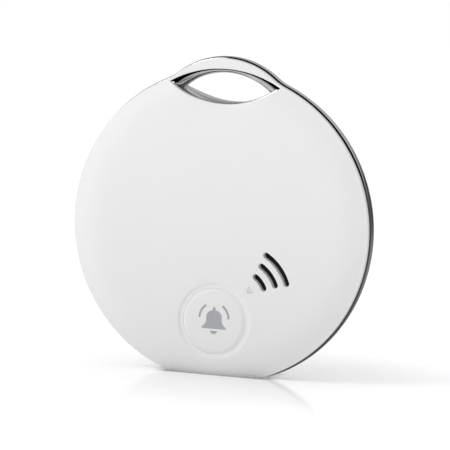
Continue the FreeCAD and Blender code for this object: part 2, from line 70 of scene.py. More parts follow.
X, Y, Z = 0, 1, 2
DISC_R = span("middle_frame", X)[1]
TOP_Z = span("middle_frame", Z)[1]
FACE_Y = span("front_shell", Y)[0]
BACK_Y = span("battery_door", Y)[1]
BEZEL_FRONT, BEZEL_BACK = span("middle_frame", Y)
SEAM_FRONT, SEAM_BACK = span("case_gasket", Y)
BOARD_FRONT, BOARD_BACK = span("circuit_board", Y)

DISC_Z = 17.9                        # middle of the round body
LOOP_R = 10.0
LOOP_Z = TOP_Z - LOOP_R
NECK_R = 7.0                         # hollow curve between the body and the loop
CORNER_R = 2.5                       # at the ends of the standing edge
BAND_FRONT = BEZEL_FRONT + 0.4
BAND_BACK = BEZEL_BACK - 0.4
BAND_ROUND = 0.4
SHELL_INSET = 0.2
RIM_PROUD = 0.5                      # shell's thin edge, outside the ring's face
RIM_R = 18.65
FRONT_FLAT_R = 14.6
BACK_FLAT_R = 14.0
WALL = 0.85

BORE_R = 17.45
FLOOR_Z = 1.3
EYE_ARC_Z = 44.25                    # middle of the wall under the eye
EYE_WALL_R = 13.0
SKIRT_GAP = 0.1
SKIRT_IN = 0.85

# Key-ring eye: half width, height of its corners, of its bottom and of its top
THROAT = (5.45, 34.35, 32.85, 36.40)
EYE_RIM = (7.00, 35.05, 32.78, 36.90)
EYE_CLEARANCE = 0.04
THROAT_Y = -0.85
THROAT_HALF = 0.12

BUTTON_Z = sum(span("button_cap", Z)) / 2
CAP_FACE_Y, NUB_BACK = span("button_cap", Y)
HOLE_R = 4.30
MEMBRANE_OUT = span("button_membrane", X)[1]
GROOVE_Y, MEMBRANE_BACK = span("button_membrane", Y)
LIP_BACK = -2.35
CAP_R = HOLE_R - 0.335
CAP_RINGS = (1.2, 2.4)               # extra rings of points, which keep the face's strips short
CAP_FLANGE_R = 4.2
CAP_FLANGE_FRONT = -2.22
CAP_BACK = -2.05
NUB_R = 0.75
MEMBRANE_SHEET = 0.1
MEMBRANE_FOOT_R = 4.35
GROOVE_DIP = 0.03
GROOVE_GAP = 0.02                    # between the cap and the silicone ring
SEAT_BACK = MEMBRANE_BACK - 0.03     # groove in the hole's wall that holds the membrane

BELL_HEIGHT = 3.6                    # as its outline is drawn, with the strokes beside it
INK_PROUD = 0.012
INK_SUNK = 0.02

SLOT_CENTRE = (3.26, 9.63)           # point that all the sound slots bend about
SLOT_WIDTH = 0.75
SLOT_DIRECTION = math.radians(40.0)
SOUND_SLOTS = ((3.2, 15.0), (4.7, 17.4), (6.15, 19.9))     # radius, half span in degrees
WINDOW = ((4.24, 10.33), (4.70, 10.44), (4.36, 10.90))     # centres of its rounded corners
WINDOW_ROUND = 0.13
WINDOW_EDGE = ((0.07, 0.0), (0.02, 0.02), (0.0, 0.06))     # how far in, at each depth

DOOR_R = span("battery_door", X)[1]
DOOR_LOW = span("battery_door", Y)[0]
DOOR_RECESS_R = DOOR_R + 0.1
DOOR_RECESS_Y = 2.30
DOOR_FLANGE_Y = 2.35
DOOR_IN_Y = 2.05
DOOR_BODY_R = 11.75
DOOR_HOLE_R = 11.9
DOOR_SKIRT_R = 10.95
LUG_R = 12.75
LUG_BACK = 1.75
LUG_ANGLES = (30.0, 150.0, 270.0)
LUG_HALF = 9.0
NOTCH_R = 12.88
NOTCH_HALF = 11.0
DOOR_TURN = 25.0
DOOR_EDGE = 0.12
RECESS_EDGE = 0.1
COIN_SLOT = (13.0, 1.5, 0.4)         # length, width, depth
COIN_SLOT_ROUND = 0.12
LUG_ROOT_R = DOOR_BODY_R - 0.1

SCREW_ANGLES = (35.0, 145.0, 215.0, 325.0)
SCREW_CIRCLE_R = 15.2
SCREW_R = 0.68
SCREW_HEAD_R = 1.25
SCREW_TIP_Y, SCREW_HEAD_Y = span("shell_screws", Y)
SCREW_SEAT_Y = SCREW_HEAD_Y - 0.5
BOSS_R = 1.1
REAR_BOSS_R = 1.38
COUNTERBORE_R = 1.35
COUNTERBORE_EDGE = 0.08
BOSS_GAP = 0.06                      # between a front boss and the board
SCREW_PLAY = 0.07
SCREW_CROWN = (0.22, 0.14)           # width and height of the head's rounding
SCREW_POINT = (0.35, 0.3)            # width and height of the tip's chamfer
CROSS_ARM = 0.75
CROSS_HALF = 0.17
CROSS_TAPER = 0.15
CROSS_DEPTH = 0.3
BOARD_POSTS = ((1.0, 28.8), (-13.0, 17.9), (14.8, 17.9), (-6.5, 5.5), (6.5, 5.0))
POST_R = 0.7

# Straight pieces in each arc of the outlines
CORNER_STEPS, DISC_STEPS, NECK_STEPS, LOOP_STEPS, FLAT_STEPS = 8, 150, 12, 56, 32
BORE_STEPS, WALL_STEPS, FLOOR_STEPS = 72, 48, 16
EYE_STEPS = 56
SLOT_STEPS, SLOT_END_STEPS = 20, 12
DOOR_STEPS, BUTTON_STEPS = 192, 128
HEAD_STEPS, SHANK_STEPS, PILOT_STEPS = 48, 32, 24

# Spacing of the points inside a curved face, and their least distance from its edges as a share
FACE_PITCH, FRONT_INNER_PITCH, BACK_INNER_PITCH = 0.5, 1.2, 0.8
CLEAR_SHARE = 0.6

# Distances under which points count as one, and heights as level
TOUCHING, WELDED, FLAT = 1e-4, 1e-5, 1e-6


# ---- settings that a user would change ----------------------------------------------------

def colour_setting(label, default, text):
    return FloatVectorProperty(name=label, description=text, subtype="COLOR", size=3,
                               min=0.0, max=1.0, default=default)


def length_setting(label, default_mm, text):
    return FloatProperty(name=label, description=text, default=default_mm * MM, unit="LENGTH",
                         subtype="DISTANCE", precision=5)


def factor_setting(label, default, text):
    return FloatProperty(name=label, description=text, default=default, min=0.0, max=1.0,
                         subtype="FACTOR")


def angle_setting(label, degrees, text):
    return FloatProperty(name=label, description=text, subtype="ANGLE", default=math.radians(degrees))


def power_setting(label, watts, text):
    return FloatProperty(name=label, description=text, unit="POWER", min=0.0, default=watts)


class CaseSettings(bpy.types.PropertyGroup):
    shell_colour: colour_setting("Shell", (0.77, 0.77, 0.77), "Colour of the moulded shells")
    shell_roughness: factor_setting("Shell roughness", 0.42, "Satin of the moulded shells")
    ring_colour: colour_setting("Ring", (0.80, 0.80, 0.81), "Colour of the chromed ring")
    ring_roughness: factor_setting("Ring roughness", 0.06, "Polish of the chromed ring")
    edge_round: length_setting("Edge rounding", 0.12, "Rounding of the shells' thin edge")
    eye_edge: length_setting("Eye edge", 0.08, "Rounding of the shells round the key-ring eye")
    slot_edge: length_setting("Slot edge", 0.05, "Rounding of the sound slots")
    eye_dip: length_setting("Eye dip", 0.45, "How far the face falls away towards the eye")
    eye_dip_width: length_setting("Eye dip width", 2.6, "Width of the face that falls away")


class ButtonSettings(bpy.types.PropertyGroup):
    groove_width: length_setting("Groove edge", 0.45, "Width of the soft slope on each side of the groove")
    mark_colour: colour_setting("Mark", (0.38, 0.39, 0.42), "Colour of the printed bell")
    mark_size: length_setting("Mark height", 3.6, "Height of the printed bell")


class StageSettings(bpy.types.PropertyGroup):
    azimuth: angle_setting("Azimuth", 20.05, "Camera's turn to the right")
    elevation: angle_setting("Elevation", 6.64, "Camera's height angle")
    roll: angle_setting("Roll", 2.16, "Camera's roll")
    distance: length_setting("Distance", 602.2, "From the camera to the tag")
    floor_colour: colour_setting("Floor", (0.93, 0.93, 0.93), "Colour of the floor")
    key_power: power_setting("Key light", 1.1, "Power of the light on the upper left")
    fill_power: power_setting("Fill light", 0.9, "Power of the light in front")


# ---- shader maths ---------------------------------------------------------------------------

# Places of a Mix node's sockets when it mixes colours
MIX_FACTOR, MIX_A, MIX_B, MIX_RESULT = 0, 6, 7, 2


class Socket:
    """An output socket whose arithmetic adds Math nodes."""

    def __init__(self, shader, output):
        self.shader = shader
        self.output = output

    def _maths(self, operation, first, second):
        return self.shader.node("ShaderNodeMath", {"operation": operation}, {0: first, 1: second})

    def __add__(self, other):
        return self._maths("ADD", self, other)

    def __sub__(self, other):
        return self._maths("SUBTRACT", self, other)

    def __mul__(self, other):
        return self._maths("MULTIPLY", self, other)

    def __rsub__(self, other):
        return self._maths("SUBTRACT", other, self)

    __radd__ = __add__
    __rmul__ = __mul__


class Shader:
    """The nodes of one material or world."""

    def __init__(self, owner):
        owner.use_nodes = True
        self.tree = owner.node_tree
        self.tree.nodes.clear()

    def node(self, kind, settings=None, inputs=None, output=0):
        node = self.tree.nodes.new(kind)
        for name, value in (settings or {}).items():
            setattr(node, name, value)
        for key, value in (inputs or {}).items():
            if isinstance(value, Socket):
                self.tree.links.new(value.output, node.inputs[key])
            else:
                node.inputs[key].default_value = value
        return Socket(self, node.outputs[output]) if node.outputs else node

    def place(self, stretch=(1.0, 1.0, 1.0)):
        """Object coordinates in millimetres, stretched along each axis."""
        start = self.node("ShaderNodeTexCoord", output="Object")
        size = tuple(part / MM for part in stretch)
        return self.node("ShaderNodeMapping", inputs={"Vector": start, "Scale": size})

    def noise(self, per_mm, detail=2.0, stretch=(1.0, 1.0, 1.0)):
        """Soft noise from 0 to 1, with so many bumps per millimetre."""
        inputs = {"Vector": self.place(stretch), "Scale": per_mm, "Detail": detail}
        return self.node("ShaderNodeTexNoise", inputs=inputs, output="Fac")

    def ramp(self, value, low, high):
        """0 where value is under low, 1 where it is over high, and a soft step between."""
        settings = {"interpolation_type": "SMOOTHSTEP"}
        return self.node("ShaderNodeMapRange", settings, {0: value, 1: low, 2: high, 3: 0.0, 4: 1.0})

    def larger(self, first, second):
        return self.node("ShaderNodeMath", {"operation": "MAXIMUM"}, {0: first, 1: second})

    def blend(self, value, first, second):
        """First where the value is 0, second where it is 1."""
        return (1 - value) * first + value * second

    def tint(self, value, dark, light):
        """Mixes two colours by a value."""
        inputs = {MIX_FACTOR: value, MIX_A: (*dark, 1.0), MIX_B: (*light, 1.0)}
        return self.node("ShaderNodeMix", {"data_type": "RGBA"}, inputs, MIX_RESULT)

    def bump(self, height, depth_mm, strength):
        return self.node("ShaderNodeBump", inputs={"Height": height, "Distance": depth_mm * MM,
                                                   "Strength": strength})


def scaled(colour, factor):
    return tuple(min(1.0, part * factor) for part in colour)


def new_material(name, finish):
    """A Principled material. Its sockets take values, or functions that make them on its shader."""
    material = bpy.data.materials.new(name)
    shader = Shader(material)
    inputs = {socket: value(shader) if callable(value) else value for socket, value in finish.items()}
    surface = shader.node("ShaderNodeBsdfPrincipled", inputs=inputs)
    shader.node("ShaderNodeOutputMaterial", inputs={"Surface": surface})
    return material


# A finish is made once, however many pieces wear it.

@cache
def moulded_plastic(name, colour, roughness):
    """Satin moulding: faint flow shading, a fine eroded grain, and rubbed patches."""
    return new_material(name, {
        "Base Color": lambda s: s.tint(s.noise(0.12, 3.0), scaled(colour, 0.985), scaled(colour, 1.01)),
        "Roughness": lambda s: s.noise(0.5, 3.0) * 0.08 + (roughness - 0.04),
        "Normal": lambda s: s.bump(s.noise(9.0) + s.noise(0.35, 1.0) * 2.0, 0.0006, 0.5),
    })


@cache
def chrome_plating(name, colour, roughness):
    """Bright plating with a trace of ripple from the casting and fine rub marks."""
    return new_material(name, {
        "Base Color": lambda s: s.tint(s.noise(0.3), scaled(colour, 0.96), colour),
        "Metallic": 1.0,
        "Roughness": lambda s: s.ramp(s.noise(2.5, 4.0, (1.0, 4.0, 1.0)), 0.45, 0.8) * 0.05 + roughness,
        "Normal": lambda s: s.bump(s.noise(0.7, 1.0), 0.0012, 0.35),
    })


@cache
def soft_rubber(name, colour):
    """Matt silicone or foam with a dusty bloom."""
    return new_material(name, {
        "Base Color": lambda s: s.tint(s.noise(0.8, 4.0), colour, scaled(colour, 1.12)),
        "Roughness": lambda s: s.noise(1.5, 3.0) * 0.12 + 0.52,
        "Normal": lambda s: s.bump(s.noise(6.0, 3.0), 0.002, 0.6),
    })


@cache
def printed_ink(name, colour):
    """Pad-printed ink: slightly glossier than the plastic, with a soft stipple."""
    return new_material(name, {
        "Base Color": lambda s: s.tint(s.ramp(s.noise(5.0, 3.0), 0.3, 0.7),
                                       scaled(colour, 0.96), scaled(colour, 1.05)),
        "Roughness": lambda s: s.noise(3.0) * 0.1 + 0.32,
        "Normal": lambda s: s.bump(s.noise(12.0), 0.0008, 0.5),
    })


@cache
def milky_plastic(name, colour):
    """Diffusing clear plastic of the light window."""
    return new_material(name, {
        "Base Color": lambda s: s.tint(s.noise(1.5), scaled(colour, 0.97), colour),
        "Roughness": lambda s: s.noise(2.0) * 0.08 + 0.22,
        "Subsurface Weight": 0.25,
        "Normal": lambda s: s.bump(s.noise(4.0), 0.0008, 0.4),
    })


@cache
def worked_metal(name, colour, roughness, grain):
    """Drawn or rolled metal: fine lines along X that vary its gloss and its surface."""
    return new_material(name, {
        "Base Color": lambda s: s.tint(s.noise(1.2, 4.0), scaled(colour, 0.88), colour),
        "Metallic": 1.0,
        "Roughness": lambda s: s.noise(grain, 3.0, (0.15, 1.0, 1.0)) * 0.18 + (roughness - 0.06),
        "Normal": lambda s: s.bump(s.noise(grain * 1.5, 3.0, (0.1, 1.0, 1.0)), 0.002, 0.5),
    })


def bands(shader, direction, per_mm, distortion=0.0):
    """Parallel bands across a direction."""
    settings = {"wave_type": "BANDS", "bands_direction": direction}
    inputs = {"Vector": shader.place(), "Scale": per_mm, "Distortion": distortion}
    return shader.node("ShaderNodeTexWave", settings, inputs, "Fac")


@cache
def woven_mesh(name, colour):
    """Acoustic cloth: two sets of crossed threads."""
    def weave(s):
        return bands(s, "X", 1.6) * bands(s, "Z", 1.6)

    return new_material(name, {
        "Base Color": lambda s: s.tint(weave(s), scaled(colour, 0.4), colour),
        "Roughness": lambda s: s.noise(3.0) * 0.1 + 0.75,
        "Normal": lambda s: s.bump(weave(s), 0.02, 0.8),
    })


@cache
def solder_mask(name, colour):
    """Circuit board: copper runs that show as lighter bands under the lacquer."""
    def runs(s):
        straight = s.ramp(bands(s, "X", 0.25, 1.5), 0.72, 0.8)
        return s.larger(straight, s.ramp(bands(s, "DIAGONAL", 0.18, 1.5), 0.72, 0.8))

    return new_material(name, {
        "Base Color": lambda s: s.tint(runs(s), colour, scaled(colour, 1.7)),
        "Roughness": lambda s: s.noise(1.0, 3.0) * 0.1 + 0.25,
        "Normal": lambda s: s.bump(runs(s), 0.03, 0.7),
    })


@cache
def speckled(name, colour, roughness):
    """Ceramic, pressed powder or filled resin, with a fine speckle."""
    return new_material(name, {
        "Base Color": lambda s: s.tint(s.ramp(s.noise(7.0, 4.0), 0.35, 0.65),
                                       scaled(colour, 0.85), scaled(colour, 1.08)),
        "Roughness": lambda s: s.noise(2.0, 3.0) * 0.12 + (roughness - 0.06),
        "Normal": lambda s: s.bump(s.noise(8.0, 3.0), 0.003, 0.5),
    })


# ---- closed outlines, drawn with arcs and straight runs in the XZ plane ----------------------

class Path:
    """A line drawn on from its last vertex. Positive turns are anticlockwise from the front."""

    def __init__(self, x, z):
        self.bm = bmesh.new()
        self.first = self.last = self.bm.verts.new((x, 0, z))

    def turn(self, centre, angle, steps):
        out = bmesh.ops.spin(self.bm, geom=[self.last], cent=(centre[0], 0, centre[1]),
                             axis=(0, -1, 0), angle=angle, steps=steps)
        self.last = next(e for e in out["geom_last"] if isinstance(e, bmesh.types.BMVert))
        return self

    def run(self, x, z, steps=1):
        start, end = self.last.co.copy(), Vector((x, 0, z))
        for step in range(1, steps + 1):
            vert = self.bm.verts.new(start.lerp(end, step / steps))
            self.bm.edges.new((self.last, vert))
            self.last = vert
        return self

    def bow(self, x, z, sag, steps=8):
        """Arc on to a point, bulging to the right by a sagitta, or to the left if it is negative."""
        start, end = Vector((self.last.co.x, self.last.co.z)), Vector((x, z))
        chord = end - start
        length = chord.length
        radius = (length ** 2 / 4 + sag ** 2) / (2 * sag)
        centre = (start + end) / 2 + Vector((-chord.y, chord.x)) / length * (radius - sag)
        return self.turn(tuple(centre), 4 * math.atan(2 * sag / length), steps)

    def close(self, steps=1):
        """Joins the end to the start and returns the loop's points, anticlockwise."""
        if (self.last.co - self.first.co).length > TOUCHING:
            self.run(self.first.co.x, self.first.co.z, steps)
        bmesh.ops.weld_verts(self.bm, targetmap={self.last: self.first})
        loop, edge = [self.first], self.first.link_edges[0]
        while edge.other_vert(loop[-1]) is not self.first:
            loop.append(edge.other_vert(loop[-1]))
            edge = next(e for e in loop[-1].link_edges if e is not edge)
        points = [(vert.co.x, vert.co.z) for vert in loop]
        self.bm.free()
        area = sum(ax * bz - bx * az for (ax, az), (bx, bz) in zip(points, points[1:] + points[:1]))
        return points if area > 0 else points[:1] + points[:0:-1]


def polar(radius, angle, centre=(0.0, DISC_Z)):
    return (centre[0] + radius * math.cos(angle), centre[1] + radius * math.sin(angle))


def circle(x, z, radius, steps):
    """Gives a function that draws the circle, grown by any amount."""
    def draw(grow):
        return Path(x + radius + grow, z).turn((x, z), 2 * math.pi, steps).close()
    return draw


def body_outline(inset):
    """Body and loop in one outline, standing on the same flat at any inset."""
    def draw(grow):
        inside = inset + grow
        disc_r, loop_r, corner_r = DISC_R - inside, LOOP_R - inside, CORNER_R - inside
        rise = LOOP_Z - DISC_Z
        to_disc, to_loop = DISC_R + NECK_R, LOOP_R + NECK_R
        neck_z = (rise ** 2 + to_disc ** 2 - to_loop ** 2) / (2 * rise)
        neck_x = math.sqrt(to_disc ** 2 - neck_z ** 2)
        neck_start = math.atan2(neck_z, neck_x)
        loop_start = math.atan2(neck_z - rise, neck_x)
        corner_x = math.sqrt((disc_r - corner_r) ** 2 - (DISC_Z - corner_r) ** 2)
        disc_start = math.atan2(corner_r - DISC_Z, corner_x)

        corner_turn = disc_start + math.pi / 2
        disc_turn = neck_start - disc_start
        neck_turn = loop_start - neck_start
        path = Path(corner_x, 0)
        path.turn((corner_x, corner_r), corner_turn, CORNER_STEPS)
        path.turn((0, DISC_Z), disc_turn, DISC_STEPS)
        path.turn((neck_x, DISC_Z + neck_z), neck_turn, NECK_STEPS)
        path.turn((0, LOOP_Z), math.pi - 2 * loop_start, LOOP_STEPS)
        path.turn((-neck_x, DISC_Z + neck_z), neck_turn, NECK_STEPS)
        path.turn((0, DISC_Z), disc_turn, DISC_STEPS)
        path.turn((-corner_x, corner_r), corner_turn, CORNER_STEPS)
        return path.close(FLAT_STEPS)
    return draw


def cavity_outline(inset):
    """Inside of the chromed ring: round, with a floor and the wall under the eye."""
    def draw(grow):
        inside = inset + grow
        radius, wall_r, floor = BORE_R - inside, EYE_WALL_R + inside, FLOOR_Z + inside - DISC_Z
        rise = EYE_ARC_Z - DISC_Z
        meet_z = (rise ** 2 + radius ** 2 - wall_r ** 2) / (2 * rise)
        meet_x = math.sqrt(radius ** 2 - meet_z ** 2)
        start = math.asin(floor / radius)
        end = math.atan2(meet_z, meet_x)
        wall_half = math.asin(meet_x / wall_r)
        path = Path(math.sqrt(radius ** 2 - floor ** 2), DISC_Z + floor)
        path.turn((0, DISC_Z), end - start, BORE_STEPS)
        path.turn((0, EYE_ARC_Z), -2 * wall_half, WALL_STEPS)
        path.turn((0, DISC_Z), end - start, BORE_STEPS)
        return path.close(FLOOR_STEPS)
    return draw


def eye_outline(size):
    """Lens-shaped outline of the key-ring eye: two arcs that meet in pointed corners."""
    def draw(grow):
        half, corner, bottom, top = size
        half, bottom, top = half + grow, bottom - grow, top + grow
        path = Path(half, corner)
        for rise in (top - corner, bottom - corner):
            radius = (half ** 2 + rise ** 2) / (2 * abs(rise))
            centre_z = corner + rise - math.copysign(radius, rise)
            turn = math.pi - 2 * math.atan2(abs(corner - centre_z), half)
            path.turn((0, centre_z), turn, EYE_STEPS)
        return path.close()
    return draw


def arc_slot(centre, radius, direction, half_span, width):
    """Slot with round ends, bent about a centre. Its span is in degrees."""
    half_turn = math.radians(half_span)

    def draw(grow):
        half = width / 2 + grow
        start, end = direction - half_turn, direction + half_turn
        path = Path(*polar(radius + half, start, centre))
        path.turn(centre, 2 * half_turn, SLOT_STEPS)
        path.turn(polar(radius, end, centre), math.pi, SLOT_END_STEPS)
        path.turn(centre, -2 * half_turn, SLOT_STEPS)
        path.turn(polar(radius, start, centre), math.pi, SLOT_END_STEPS)
        return path.close()
    return draw


def rounded_shape(centres, radius):
    """Straight sides with a round corner about each centre, listed anticlockwise."""
    def draw(grow):
        points = [Vector(c) for c in centres]
        sides = [b - a for a, b in zip(points, points[1:] + points[:1])]
        angles = [math.atan2(side.y, side.x) - math.pi / 2 for side in sides]
        reach = radius + grow
        path = None
        for index, point in enumerate(points):
            before, after = angles[index - 1], angles[index]
            start = polar(reach, before, point)
            path = path.run(*start, 3) if path else Path(*start)
            path.turn(tuple(point), (after - before) % (2 * math.pi), 8)
        return path.close(3)
    return draw


def notched_circle(radius, notch_radius, angles, half_width):
    """Circle with wider stretches about some angles, in degrees."""
    def draw(grow):
        narrow, wide = radius + grow, notch_radius + grow
        half = math.radians(half_width)
        gap = 2 * math.pi / len(angles) - 2 * half
        first = math.radians(angles[0]) - half
        path = Path(*polar(wide, first))
        for index in range(len(angles)):
            start = first + index * (gap + 2 * half)
            path.turn((0, DISC_Z), 2 * half, 12)
            path.run(*polar(narrow, start + 2 * half))
            path.turn((0, DISC_Z), gap, 60)
            if index < len(angles) - 1:
                path.run(*polar(wide, start + 2 * half + gap))
        return path.close()
    return draw


# ---- surfaces between outlines ----------------------------------------------------------------

def level(y):
    return lambda x, z: y


def pillow(face_y, rim_y, flat_r, wall=0.0):
    """Height of a face that is flat in the middle and curves back towards its rim."""
    inward = 1 if rim_y > face_y else -1
    fall = abs(rim_y - face_y)
    radius = ((RIM_R - flat_r) ** 2 + fall ** 2) / (2 * fall)
    reach = radius - wall
    widest = reach * (RIM_R - flat_r) / radius

    def height(x, z):
        out = min(max(math.hypot(x, z - DISC_Z) - flat_r, 0.0), widest)
        return face_y + inward * (radius - math.sqrt(reach ** 2 - out ** 2))
    return height


def dipped(height, face_y, depth, width):
    """A face that also falls away, softly, towards the lower edge of the key-ring eye."""
    half, corner, bottom, _ = EYE_RIM
    radius = (half ** 2 + (corner - bottom) ** 2) / (2 * (corner - bottom))
    inward = 1 if face_y < 0 else -1

    def lower(x, z):
        away = math.hypot(x, z - bottom - radius) - radius
        fall = abs(height(x, z) - face_y)
        if 0 <= away < width and abs(x) < half:
            dip = depth * (1 - away / width) ** 2 * (1 - (x / half) ** 2) ** 2
            fall = math.hypot(fall, dip)
        return face_y + inward * fall
    return lower


def rows_of(bm, rows):
    """Draws an outline once per row, lays each on its height, and joins them with a wall."""
    loops = []
    for draw, grow, height in rows:
        loop = [bm.verts.new((x, height(x, z), z)) for x, z in draw(grow)]
        for pair in zip(loop, loop[1:] + loop[:1]):
            bm.edges.new(pair)
        loops.append(loop)
        if len(loops) > 1:
            join(bm, *loops[-2:])
    return loops[0], loops[-1]


def upright(draw, *heights, grow=0.0):
    """Rows of one outline at several heights."""
    return [(draw, grow, level(y)) for y in heights]


def join(bm, first, second):
    """Wall between two outlines, or flat ground where both are on one level."""
    heights = [vert.co.y for vert in first + second]
    if max(heights) - min(heights) < FLAT:
        fill(bm, first, second)
    else:
        bmesh.ops.bridge_loops(bm, edges=edges_of(bm, first) + edges_of(bm, second))


def edges_of(bm, loop):
    return [bm.edges.get(pair) for pair in zip(loop, loop[1:] + loop[:1])]


def softened(draw, height, inward, width, depth, steps=5):
    """Rows of a rounded edge, from the face down to the wall."""
    rows = []
    for step in range(steps + 1):
        angle = math.pi / 2 * (1 - step / steps)
        down = inward * depth * (1 - math.sin(angle))
        rows.append((draw, width * (1 - math.cos(angle)), lambda x, z, d=down: height(x, z) + d))
    return rows


def sloped(draw, height, width, end_y, steps=10):
    """Rows of a soft slope from the face down to a level, tangent at both ends."""
    rows = []
    for step in range(steps + 1):
        share = (1 + math.cos(math.pi * step / steps)) / 2

        def lower(x, z, share=share):
            return end_y + (height(x, z) - end_y) * share
        rows.append((draw, width * (1 - step / steps), lower))
    return rows


def fill(bm, *loops):
    """Flat ground between outlines."""
    edges = [edge for loop in loops for edge in edges_of(bm, loop)]
    bmesh.ops.triangle_fill(bm, use_beauty=True, edges=edges, normal=(0, -1, 0))


def inside(points, loops):
    """Which points lie in the ground between the loops, by counting the edges to their right."""
    crossings = np.zeros(len(points), int)
    px, pz = points[:, :1], points[:, 1:]
    for loop in loops:
        start = np.array([(v.co.x, v.co.z) for v in loop])
        end = np.roll(start, -1, axis=0)
        spans = (start[:, 1] > pz) != (end[:, 1] > pz)
        rise = np.where(end[:, 1] == start[:, 1], 1.0, end[:, 1] - start[:, 1])
        cross_x = start[:, 0] + (pz - start[:, 1]) / rise * (end[:, 0] - start[:, 0])
        crossings += (spans & (px < cross_x)).sum(axis=1)
    return crossings % 2 == 1


def skin(bm, height, pitch, *loops):
    """Curved ground between outlines. No fill operator puts points inside a face, and a pillow
    needs them, so an even lattice and the outlines are triangulated together."""
    fixed = [vert for loop in loops for vert in loop]
    rim = np.array([(v.co.x, v.co.z) for v in fixed])
    low, high = rim.min(axis=0), rim.max(axis=0)
    columns = np.arange(low[0], high[0], pitch)
    lattice = []
    for row, z in enumerate(np.arange(low[1], high[1], pitch * math.sqrt(0.75))):
        lattice += [(x + pitch / 2 * (row % 2), z) for x in columns]
    lattice = np.array(lattice)
    lattice = lattice[inside(lattice, loops)]
    gaps = np.array([np.hypot(*(rim - point).T).min() for point in lattice])
    lattice = lattice[gaps > pitch * CLEAR_SHARE]

    flat = [Vector(p) for p in np.vstack([rim, lattice])]
    edges, first = [], 0
    for loop in loops:
        ring = list(range(first, first + len(loop)))
        edges += list(zip(ring, ring[1:] + ring[:1]))
        first += len(loop)
    places, _, faces, origins, _, _ = delaunay_2d_cdt(flat, edges, [], 1, FLAT)
    verts = []
    for place, origin in zip(places, origins):
        known = [i for i in origin if i < len(fixed)]
        x, z = place
        verts.append(fixed[known[0]] if known else bm.verts.new((x, height(x, z), z)))
    middles = np.array([sum((places[i] for i in face), Vector((0, 0))) / 3 for face in faces])
    for face, in_hole in zip(faces, inside(middles, loops[1:])):
        if not in_hole:
            bm.faces.new([verts[i] for i in face])


def lathe(bm, profile, x, z):
    """Solid of revolution about a line along Y, from (radius, y) points that start and end on it."""
    verts = [bm.verts.new((x + r, y, z)) for r, y in profile]
    edges = [bm.edges.new(pair) for pair in zip(verts, verts[1:])]
    bmesh.ops.spin(bm, geom=verts + edges, cent=(x, 0, z), axis=(0, 1, 0), angle=2 * math.pi,
                   steps=BUTTON_STEPS, use_merge=True)
    bmesh.ops.remove_doubles(bm, verts=bm.verts, dist=TOUCHING)


def new_object(name, bm, material):
    mesh = bpy.data.meshes.new(name)
    bm.to_mesh(mesh)
    bm.free()
    mesh.materials.append(material)
    made = bpy.data.objects.new(name, mesh)
    bpy.context.scene.collection.objects.link(made)
    return made


def place(bm, name, body, material, nodes, slot, sharp=32.0):
    """Turns a bmesh drawn in millimetres into a piece that rides on a body."""
    bmesh.ops.remove_doubles(bm, verts=bm.verts, dist=WELDED)
    bm.normal_update()
    bmesh.ops.recalc_face_normals(bm, faces=bm.faces)
    for face in bm.faces:
        face.smooth = True
    for edge in bm.edges:
        edge.smooth = edge.calc_face_angle(0.0) < math.radians(sharp)
    bmesh.ops.scale(bm, vec=(MM, MM, MM), verts=bm.verts)
    piece = new_object(name, bm, material)
    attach(piece, body)
    if nodes:
        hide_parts(*nodes)


def screw_places():
    return [polar(SCREW_CIRCLE_R, math.radians(angle)) for angle in SCREW_ANGLES]


def white_plastic(scene):
    case = scene.tag_case
    return moulded_plastic("white_plastic", tuple(case.shell_colour), case.shell_roughness)


# ---- the pieces ---------------------------------------------------------------------------------

class Cover:
    """A shell's two skins, and the loops that bound each of them, before its holes are cut."""

    def __init__(self, case, face_y, band_y, seam_y, flat_r):
        self.bm = bmesh.new()
        self.inward = 1 if band_y > face_y else -1
        rim_y = band_y - self.inward * RIM_PROUD
        face = pillow(face_y, rim_y, flat_r)
        self.face = dipped(face, face_y, case.eye_dip / MM, case.eye_dip_width / MM)
        self.ceiling = pillow(face_y, rim_y, flat_r, WALL)

        outline, eye = body_outline(SHELL_INSET), eye_outline(EYE_RIM)
        rows = self.edge(outline, case.edge_round / MM) + upright(outline, band_y)
        outer_top, outer_foot = rows_of(self.bm, rows)
        rows = [(draw, grow + EYE_CLEARANCE, height)
                for draw, grow, height in self.edge(eye, case.eye_edge / MM)]
        rows += upright(eye, band_y, grow=EYE_CLEARANCE)
        eye_top, eye_foot = rows_of(self.bm, rows)
        outer, inner = cavity_outline(SKIRT_GAP), cavity_outline(SKIRT_IN)
        rows = upright(outer, band_y, seam_y) + upright(inner, seam_y) + [(inner, 0, self.ceiling)]
        skirt_top, hollow = rows_of(self.bm, rows)
        fill(self.bm, outer_foot, eye_foot, skirt_top)
        self.tops, self.feet = [outer_top, eye_top], [hollow]

    def edge(self, draw, size, steps=5):
        """Rows of a rounded edge between the face and a wall."""
        return softened(draw, self.face, self.inward, size, size, steps)

    def cut(self, rows):
        """An opening from the face right through to the hollow."""
        top, foot = rows_of(self.bm, rows)
        self.tops.append(top)
        self.feet.append(foot)

    def column(self, x, z, radius, end_y, bore_r=0.0, bore_end=0.0):
        """A post or screw boss that stands on the shell's inside."""
        shaft = circle(x, z, radius, SHANK_STEPS)
        foot, end = rows_of(self.bm, [(shaft, 0, self.ceiling)] + upright(shaft, end_y))
        self.feet.append(foot)
        if bore_r:
            bore = circle(x, z, bore_r, PILOT_STEPS)
            mouth, bottom = rows_of(self.bm, upright(bore, end_y, bore_end))
            fill(self.bm, end, mouth)
            fill(self.bm, bottom)
        else:
            fill(self.bm, end)

    def finish(self, pitch, name, node, scene):
        skin(self.bm, self.face, FACE_PITCH, *self.tops)
        skin(self.bm, self.ceiling, pitch, *self.feet)
        place(self.bm, name, "housing", white_plastic(scene), [node], "white_shell")


